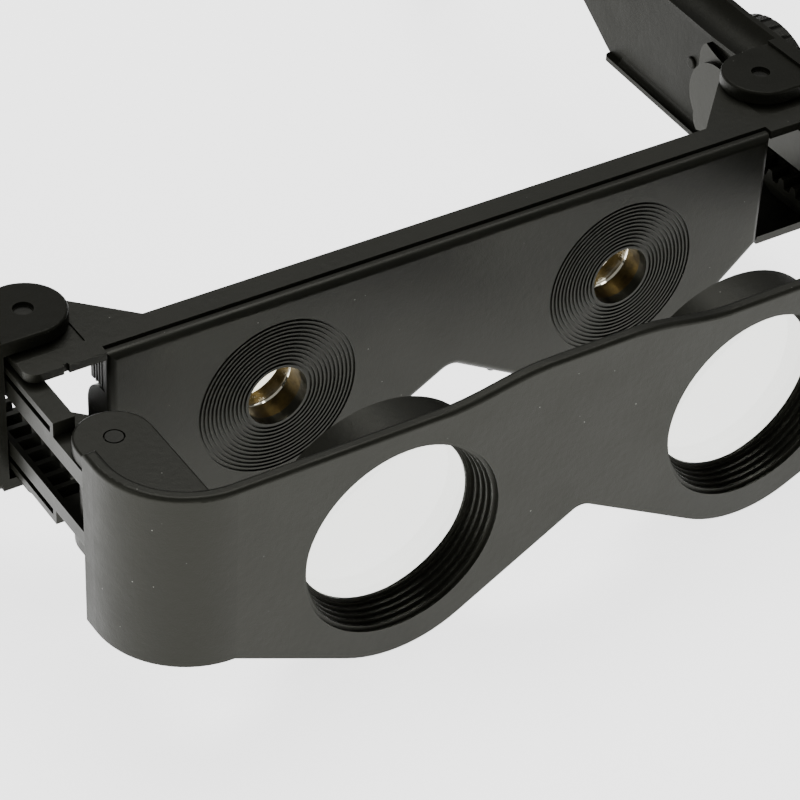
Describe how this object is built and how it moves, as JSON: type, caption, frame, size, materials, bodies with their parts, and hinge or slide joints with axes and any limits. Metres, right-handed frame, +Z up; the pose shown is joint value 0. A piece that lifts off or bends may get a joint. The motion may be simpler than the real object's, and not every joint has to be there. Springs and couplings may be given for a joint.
{
  "type": "head visor magnifier",
  "caption": "Glasses-style head magnifier with large front lenses, small eyepieces and racks that slide in folding side arms.",
  "frame": {"origin": "middle of the overall footprint, on the surface that the magnifier stands on", "axes": "+X to the right for someone who faces the front plate, which is the wearer's left, +Y from the front plate back towards the wearer, +Z up"},
  "size_m": [0.1592, 0.1626, 0.0433],
  "materials": {
    "black_plastic": "satin moulded black plastic with a fine grain",
    "knob_plastic": "black plastic with a gripped rim",
    "dark_pin": "smooth dark pin",
    "clear_lens": "clear moulded lens",
    "amber_lens": "lens with a warm coating",
    "soft_pad": "soft dark pad",
    "dark_brass": "dark brass-coloured metal, darker inside the bore",
    "steel": "small plated screw"
  },
  "bodies": {
    "frame": {"rear_frame": "black_plastic", "eyepiece_panel": "black_plastic", "eyepiece_lens_left": "amber_lens", "eyepiece_cell_left": "dark_brass", "nose_pad_left": "soft_pad", "rear_hinge_pins_left": "dark_pin", "eyepiece_lens_right": "amber_lens", "eyepiece_cell_right": "dark_brass", "nose_pad_right": "soft_pad", "rear_hinge_pins_right": "dark_pin"},
    "front": {"front_frame": "black_plastic", "objective_lens_left": "clear_lens", "objective_ring_left": "black_plastic", "front_hinge_pins_left": "dark_pin", "objective_lens_right": "clear_lens", "objective_ring_right": "black_plastic", "front_hinge_pins_right": "dark_pin"},
    "temple_left": {"arm_left": "black_plastic"},
    "slider_left": {"rack_left": "black_plastic"},
    "knob_left": {"focus_knob_left": "knob_plastic", "pinion_left": "black_plastic", "knob_screw_left": "steel"},
    "temple_right": {"arm_right": "black_plastic"},
    "slider_right": {"rack_right": "black_plastic"},
    "knob_right": {"focus_knob_right": "knob_plastic", "pinion_right": "black_plastic", "knob_screw_right": "steel"}
  },
  "joints": [
    {"name": "fold_left", "type": "hinge", "parent": "frame", "child": "temple_left", "pos_m": [-0.0655, -0.03405, 0.0296], "axis": [0, 0, 1], "range_deg": [-4, 4]},
    {"name": "focus_left", "type": "slide", "parent": "temple_left", "child": "slider_left", "axis": [0, 1, 0], "range_m": [0, 0.015]},
    {"name": "knob_turn_left", "type": "hinge", "parent": "temple_left", "child": "knob_left", "pos_m": [-0.0752, -0.02125, 0.02872], "axis": [1, 0, 0], "range_deg": [0, 225.01]},
    {"name": "fold_right", "type": "hinge", "parent": "frame", "child": "temple_right", "pos_m": [0.0655, -0.03405, 0.0296], "axis": [0, 0, 1], "range_deg": [-4, 4]},
    {"name": "focus_right", "type": "slide", "parent": "temple_right", "child": "slider_right", "axis": [0, 1, 0], "range_m": [0, 0.015]},
    {"name": "knob_turn_right", "type": "hinge", "parent": "temple_right", "child": "knob_right", "pos_m": [0.0752, -0.02125, 0.02872], "axis": [1, 0, 0], "range_deg": [0, 225.01]},
    {"name": "front_hinge", "type": "hinge", "parent": "slider_left", "child": "front", "pos_m": [-0.0655, -0.06115, 0.0296], "axis": [0, 0, 1], "range_deg": [-4, 4]}
  ],
  "couplings": [
    {"joint": "fold_right", "follows": "fold_left", "ratio": 1},
    {"joint": "front_hinge", "follows": "fold_left", "ratio": -1},
    {"joint": "focus_right", "follows": "focus_left", "ratio": 1},
    {"joint": "knob_turn_left", "follows": "focus_left", "rad_per_m": 261.8},
    {"joint": "knob_turn_right", "follows": "focus_left", "rad_per_m": 261.8}
  ]
}
